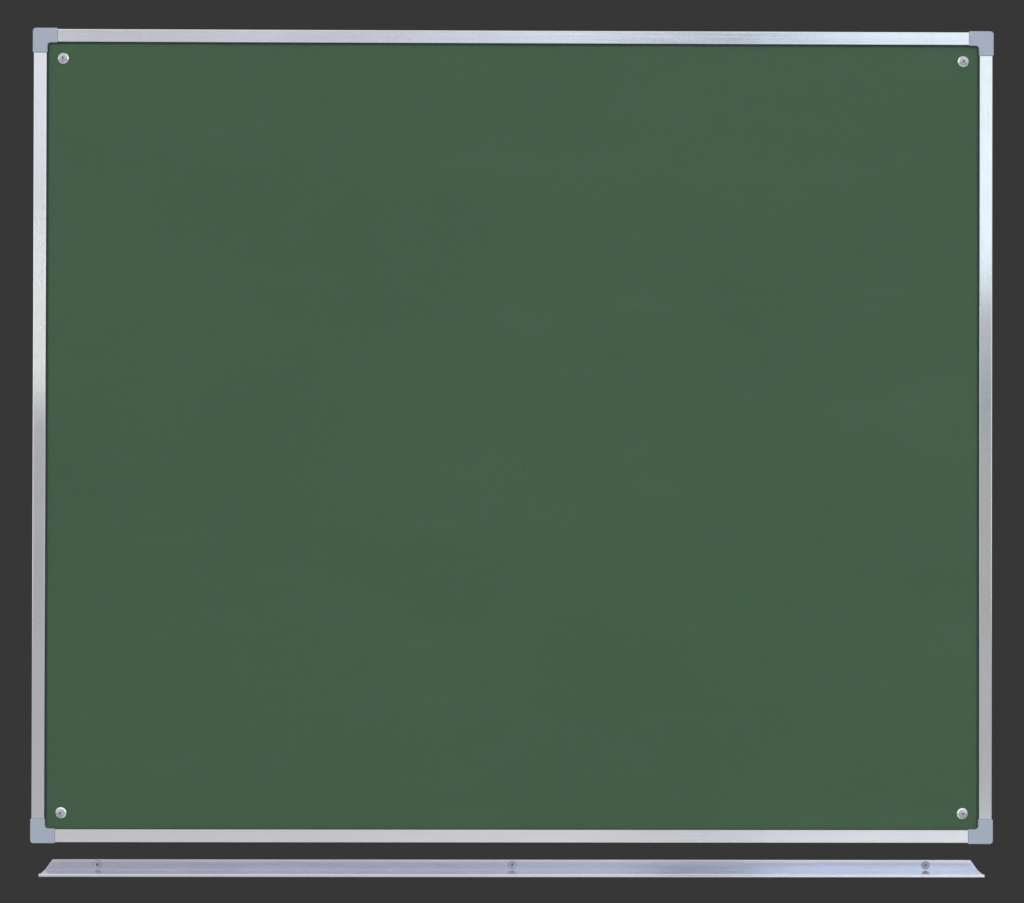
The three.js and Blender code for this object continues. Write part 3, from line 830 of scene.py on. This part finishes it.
def make_cap_screw():
    y = FRAME_BACK - 0.05
    rows = [(0, y), (2.60, y), (2.70, y - 0.05), (2.72, y - 0.12), (1.35, y - 1.46), (1.3, y - 2.0), (1.3, y - 7.4), (0.5, y - 9.1), (0, y - 9.5)]
    ob = lathe("screw", rows, 32, ZINC, sharp=50)
    recess(ob, y, 1.5, 1.3, wing=0.72, facing=1)
    crease(ob.data, 42)
    return ob


SCREWS = {"top_left": (-1, 1), "top_right": (1, 1), "bottom_left": (-1, -1), "bottom_right": (1, -1)}
RECESS_TURN = {"top_left": 0.42, "top_right": 1.05, "bottom_left": -0.21, "bottom_right": 0.72}
wall_screw, washer = make_wall_screw(), make_cup_washer()
for where, (sx, sz) in SCREWS.items():
    at = (sx * (FRAME_W / 2 - SCREW_INSET), 0, sz * (FRAME_H / 2 - SCREW_INSET))
    shown(copy_of(wall_screw, f"board_screw_{where}", at, RECESS_TURN[where]), f"wall_screw_{where}")
    shown(copy_of(washer, f"washer_{where}", at, 0.7 * RECESS_TURN[where]), f"cup_washer_{where}")
bpy.data.objects.remove(wall_screw)
bpy.data.objects.remove(washer)

cap_screw = make_cap_screw()
for where, (sx, sz, _) in CORNERS.items():
    reach = CAP_LEG + 12.0
    cx, cz = sx * FRAME_W / 2, sz * FRAME_H / 2
    a = (cx - sx * reach, 0, cz - sz * CHAMBER_MID)
    b = (cx - sx * CHAMBER_MID, 0, cz - sz * reach)
    shown(copy_of(cap_screw, f"self_tapper_{where}_a", a, 0.35 * sx * sz), f"cap_screw_{where}_a")
    shown(copy_of(cap_screw, f"self_tapper_{where}_b", b, 0.8 * sx), f"cap_screw_{where}_b")
bpy.data.objects.remove(cap_screw)


# ------------------------------------------------------------------ chalk tray
def make_tray():
    d, t, zb = -SHELF_DEPTH, TRAY_T, SHELF_Z - TRAY_T
    s = [(0, TRAY_TOP)]
    s += arc(-t + 0.25, TRAY_TOP - 0.25, 0.25, 90, 180, 4)
    s += arc(-t - 0.15, SHELF_Z + 0.15, 0.15, 0, -90, 4)
    s += arc(d + t + 0.5, SHELF_Z + 0.5, 0.5, 270, 180, 5)
    s += arc(d + t - 0.4, LIP_Z - 0.4, 0.4, 0, 90, 4)
    s += arc(d + 1.5, LIP_Z - 1.5, 1.5, 90, 180, 9)
    s += arc(d + 1.3, zb + 1.3, 1.3, 180, 270, 7)
    s += arc(-0.8, zb + 0.8, 0.8, 270, 360, 4)
    clean = []
    for p in s:
        if not clean or abs(p[0] - clean[-1][0]) + abs(p[1] - clean[-1][1]) > 1e-4:
            clean.append(p)
    ob = extrude_x("tray", clean[::-1], -TRAY_LEN / 2, TRAY_LEN / 2, ALU_TRAY)
    slope = (TRAY_LEN - TRAY_TOP_LEN) / 2 / (TRAY_TOP - SHELF_Z)
    for side in (-1, 1):
        x1 = TRAY_LEN / 2
        pts = [(x1, SHELF_Z), (x1 - slope * (TRAY_TOP - SHELF_Z + 1), TRAY_TOP + 1), (x1 + 5, TRAY_TOP + 1), (x1 + 5, SHELF_Z)]
        pts = [(side * x, z) for x, z in pts]
        if side > 0:
            pts = pts[::-1]
        v = [(x, -t - 1.2, z) for x, z in pts] + [(x, 1.0, z) for x, z in pts]
        f = [(0, 1, 2, 3), (7, 6, 5, 4)] + [(i, 4 + i, 4 + (i + 1) % 4, (i + 1) % 4) for i in range(4)]
        boolean(ob, piece("cutter", v, f, ALU_TRAY))
    for x in (-TRAY_HOLE_X, 0.0, TRAY_HOLE_X):
        R = TRAY_HOLE_R
        rows = [(0, -t - 1), (R + 0.12, -t - 1), (R + 0.12, -t - 0.0), (R, -t + 0.10), (R - t, 0.0), (R - t, 1.0), (0, 1.0)]
        boolean(ob, lathe("cutter", rows, 48, ALU_TRAY, center=(x, TRAY_HOLE_Z)))
    tidy(ob.data)
    # Countersink walls take the dark grey material: painted shade round the screw heads.
    ob.data.materials.append(ALU_CUT)
    for p in ob.data.polygons:
        near = min(math.hypot(p.center.x / MM - x, p.center.z / MM - TRAY_HOLE_Z) for x in (-TRAY_HOLE_X, 0.0, TRAY_HOLE_X))
        if near < TRAY_HOLE_R + 0.5 and p.area < 5e-6 and abs(p.normal.y) < 0.9:
            p.material_index = 1
    crease(ob.data, 35)
    return flats(ob)


shown(make_tray(), "chalk_tray").name = "chalk_tray_extrusion"
for where, x, bowl, plating in (("left", -TRAY_HOLE_X, 0.80, SCREW_PALE), ("centre", 0.0, 0.36, SCREW_PALE), ("right", TRAY_HOLE_X, 0.45, SCREW_DULL)):
    tray_screw = make_tray_screw(bowl, plating)
    shown(copy_of(tray_screw, f"tray_fixing_{where}", (x, 0, TRAY_HOLE_Z), 0.3 + 0.004 * x), f"tray_screw_{where}")
    bpy.data.objects.remove(tray_screw)


# ------------------------------------------------------------------ floor and light
FLOOR_Z = -1.5
WORLD_FRONT, WORLD_SIDE, WORLD_BACK, WORLD_SEEN = 0.42, 1.12, 0.60, 0.038


def make_floor():
    n, half = 24, 16.0
    step = 2 * half / n
    verts = [(-half + i * step, -half + j * step, FLOOR_Z) for j in range(n + 1) for i in range(n + 1)]
    faces = [(j * (n + 1) + i, j * (n + 1) + i + 1, (j + 1) * (n + 1) + i + 1, (j + 1) * (n + 1) + i) for j in range(n) for i in range(n)]
    me = bpy.data.meshes.new("floor")
    me.from_pydata(verts, [], faces)
    m = Mat("floor_pale").set(metallic=0.0, roughness=0.85, specular=0.2)
    m.color(m.scale_color((0.56, 0.56, 0.555), m.remap(m.noise(1.4, 3), 0.3, 0.7, 0.985, 1.015)))
    # Seen directly, it is an even pale floor below the board that fades into the backdrop some metres away.
    x, y, _ = m.separate()
    away = m.math("SQRT", m.math("ADD", m.math("MULTIPLY", x, x), m.math("MULTIPLY", y, y)))
    even = m.nt.nodes.new("ShaderNodeEmission")
    pale = m.scale_color((0.47, 0.47, 0.465), m.remap(m.noise(2.2, 3), 0.3, 0.7, 0.985, 1.015))
    m.link(m.mix(m.remap(away, 1.6, 4.2, 0, 1, True), pale, (WORLD_SEEN,) * 3), even.inputs["Color"])
    path = m.nt.nodes.new("ShaderNodeLightPath")
    pick = m.nt.nodes.new("ShaderNodeMixShader")
    m.link(path.outputs["Is Camera Ray"], pick.inputs[0])
    m.link(m.bsdf.outputs["BSDF"], pick.inputs[1])
    m.link(even.outputs[0], pick.inputs[2])
    m.link(pick.outputs[0], m.out.inputs["Surface"])
    me.materials.append(m.mat)
    ob = bpy.data.objects.new("floor", me)
    scene.collection.objects.link(ob)


make_floor()



def make_world():
    """A pale room: bright walls, ceiling and floor all round, dimmer straight in front of the board."""
    world = bpy.data.worlds.new("world")
    world.use_nodes = True
    nt = world.node_tree
    bg = nt.nodes["Background"]
    coord = nt.nodes.new("ShaderNodeTexCoord")
    sep = nt.nodes.new("ShaderNodeSeparateXYZ")
    nt.links.new(coord.outputs["Generated"], sep.inputs[0])

    def ramp(v, a, b, lo, hi):
        n = nt.nodes.new("ShaderNodeMapRange")
        n.interpolation_type = "SMOOTHSTEP"
        for k, val in (("From Min", a), ("From Max", b), ("To Min", lo), ("To Max", hi)):
            n.inputs[k].default_value = val
        nt.links.new(v, n.inputs["Value"])
        return n.outputs["Result"]

    def add(a, b):
        n = nt.nodes.new("ShaderNodeMath")
        n.operation = "ADD"
        nt.links.new(a, n.inputs[0])
        nt.links.new(b, n.inputs[1])
        return n.outputs[0]

    y = sep.outputs["Y"]
    dim = ramp(y, -0.95, -0.74, WORLD_FRONT, WORLD_SIDE)
    behind = ramp(y, -0.25, 0.35, 0.0, WORLD_BACK - WORLD_SIDE)
    nt.links.new(add(dim, behind), bg.inputs["Strength"])
    # Seen directly, it is an even dark backdrop.
    path = nt.nodes.new("ShaderNodeLightPath")
    plain = nt.nodes.new("ShaderNodeBackground")
    plain.inputs["Color"].default_value = (1.0, 1.0, 1.0, 1.0)
    plain.inputs["Strength"].default_value = WORLD_SEEN
    pick = nt.nodes.new("ShaderNodeMixShader")
    nt.links.new(path.outputs["Is Camera Ray"], pick.inputs[0])
    nt.links.new(bg.outputs[0], pick.inputs[1])
    nt.links.new(plain.outputs[0], pick.inputs[2])
    nt.links.new(pick.outputs[0], nt.nodes["World Output"].inputs["Surface"])
    # The upper part of the room in front is bluer, as from a window.
    n = nt.nodes.new("ShaderNodeMath")
    n.operation = "MULTIPLY"
    nt.links.new(ramp(sep.outputs["Z"], 0.03, 0.18, 0.0, 1.0), n.inputs[0])
    nt.links.new(ramp(y, -0.95, -0.74, 1.0, 0.0), n.inputs[1])
    tone = nt.nodes.new("ShaderNodeMix")
    tone.data_type = "RGBA"
    nt.links.new(n.outputs[0], tone.inputs["Factor"])
    tone.inputs["A"].default_value = (0.99, 0.99, 0.99, 1.0)
    tone.inputs["B"].default_value = (0.93, 0.99, 1.15, 1.0)
    nt.links.new(tone.outputs["Result"], bg.inputs["Color"])
    scene.world = world


make_world()


def soft_light(name, x, y, z, w, h, radiance, target, color=(1, 1, 1), glossy=True):
    """An area light of an even radiance, aimed at a point."""
    d = bpy.data.lights.new(name, "AREA")
    d.shape = "RECTANGLE"
    d.size, d.size_y = w, h
    d.energy = radiance * math.pi * w * h
    d.color = color
    ob = bpy.data.objects.new(name, d)
    ob.location = (x, y, z)
    ob.rotation_mode = "QUATERNION"
    ob.rotation_quaternion = (Vector(target) - Vector((x, y, z))).to_track_quat("-Z", "Y")
    ob.visible_camera = False
    ob.visible_glossy = glossy
    scene.collection.objects.link(ob)
    return ob


# Soft panels behind the camera, as windows would be: name, X and Z range, radiance, colour.
PANELS = [
    ("panel_far_left", -3.30, -1.30, 1.00, 1.97, 0.39, (1.0, 0.92, 0.75)),
    ("panel_far_left_low", -4.00, -2.30, 0.23, 1.20, 1.43, (1.0, 0.98, 0.90)),
    ("panel_left", -1.30, 0.66, 1.15, 1.97, 0.78, (0.865, 0.88, 1.0)),
    ("panel_middle", -0.03, 0.66, 0.95, 2.90, 0.80, (0.78, 0.86, 1.0)),
    ("panel_low", 0.90, 1.20, 0.30, 0.66, 0.80, (0.54, 0.90, 1.0)),
    ("panel_right_low", 1.08, 2.00, 0.67, 1.30, 1.38, (0.62, 0.83, 1.0)),
    ("panel_right_edge", 1.12, 1.40, 1.30, 3.21, 0.63, (0.64, 0.86, 1.0)),
    ("panel_right", 1.40, 2.00, 1.30, 3.21, 0.63, (0.76, 0.96, 1.0)),
    ("panel_far_right_low", 2.00, 3.40, 0.67, 1.22, 0.68, (0.91, 1.0, 0.91)),
    ("panel_far_right", 2.00, 3.40, 1.22, 3.21, 0.87, (0.91, 1.0, 0.92)),
]
for name, x0, x1, z0, z1, level, tone in PANELS:
    soft_light(name, (x0 + x1) / 2, -6.2, (z0 + z1) / 2, x1 - x0, z1 - z0, level, ((x0 + x1) / 2, 0, (z0 + z1) / 2), tone)
soft_light("panel_inner", 0.48, -6.15, 1.925, 0.16, 1.95, 0.40, (0.48, 0, 1.925), (0.90, 0.94, 1.0))
# Light pooled on the floor in front of the board, which the tray mirrors: name, X range, radiance, colour.
POOLS = [
    ("floor_middle", -0.55, 0.55, 0.46, (0.90, 0.84, 1.0)),
    ("floor_right", 0.74, 2.30, 2.12, (0.84, 0.95, 1.0)),
]
for name, x0, x1, level, tone in POOLS:
    soft_light(name, (x0 + x1) / 2, -4.2, -0.6, x1 - x0, 3.0, level, ((x0 + x1) / 2, -4.2, -2), tone, glossy=False)
# Low pale things nearer the board, seen only in the lower metal's stretched highlights: name, X range, radiance, colour.
LOWS = [
    ("low_left", -1.30, -0.12, 0.53, (1.0, 0.86, 0.81)),
    ("low_middle", -0.12, 0.34, 0.58, (1.0, 0.86, 0.93)),
    ("low_right", 0.45, 1.40, 0.51, (1.0, 0.93, 0.90)),
]
for name, x0, x1, level, tone in LOWS:
    soft_light(name, (x0 + x1) / 2, -2.0, -1.22, x1 - x0, 0.44, level, ((x0 + x1) / 2, 0, -0.9), tone).visible_diffuse = False
soft_light("back_fill", 1.6, 4.8, 2.4, 3.0, 2.2, 1.2, (0, 0, 0.1))


def make_post():
    """A grey upright behind the camera: the metal mirrors it as a faint dark bar."""
    x0, x1, y, top, r = 0.60, 0.83, -4.6, 3.2, 0.03
    outline = arc(x1 - r, y - r, r, 0, 90, 4) + arc(x0 + r, y - r, r, 90, 180, 4) + [(x0, y - 0.12), (x1, y - 0.12)]
    n = len(outline)
    verts = [(a, b, FLOOR_Z) for a, b in outline] + [(a, b, top) for a, b in outline]
    faces = [(k, (k + 1) % n, n + (k + 1) % n, n + k) for k in range(n)] + [tuple(range(n))[::-1], tuple(n + k for k in range(n))]
    me = bpy.data.meshes.new("post")
    me.from_pydata(verts, [], faces)
    m = Mat("post_grey").set(metallic=0.0, roughness=0.8, specular=0.2)
    up = m.remap(m.separate()[2], 0.8, 1.2, 0, 1, True)
    m.color(m.scale_color(m.mix(up, (0.36, 0.37, 0.40), (0.19, 0.21, 0.25)), m.remap(m.noise(2.0, 3), 0.3, 0.7, 0.97, 1.03)))
    me.materials.append(m.mat)
    ob = bpy.data.objects.new("post", me)
    scene.collection.objects.link(ob)
    ob.visible_camera = False


make_post()


def make_sill():
    """A dim grey-green sill under the windows at the far right, which the right upright mirrors at mid-height. It
    glows: its grey-green is emitted, standing in for a lit sill.
    """
    x0, x1, y0, y1, z0, z1 = 1.95, 4.00, -6.05, -5.98, 0.09, 0.39
    verts = [(x, y, z) for z in (z0, z1) for y in (y0, y1) for x in (x0, x1)]
    faces = [(0, 2, 3, 1), (4, 5, 7, 6), (0, 1, 5, 4), (2, 6, 7, 3), (0, 4, 6, 2), (1, 3, 7, 5)]
    me = bpy.data.meshes.new("sill")
    me.from_pydata(verts, [], faces)
    m = Mat("sill_glow_grey_green").set(metallic=0.0, roughness=0.8)
    glow = m.nt.nodes.new("ShaderNodeEmission")
    m.link(m.scale_color((0.22, 0.355, 0.355), m.remap(m.noise(2.0, 3), 0.3, 0.7, 0.97, 1.03)), glow.inputs["Color"])
    m.link(glow.outputs[0], m.out.inputs["Surface"])
    me.materials.append(m.mat)
    ob = bpy.data.objects.new("sill", me)
    scene.collection.objects.link(ob)
    ob.visible_camera = False


make_sill()
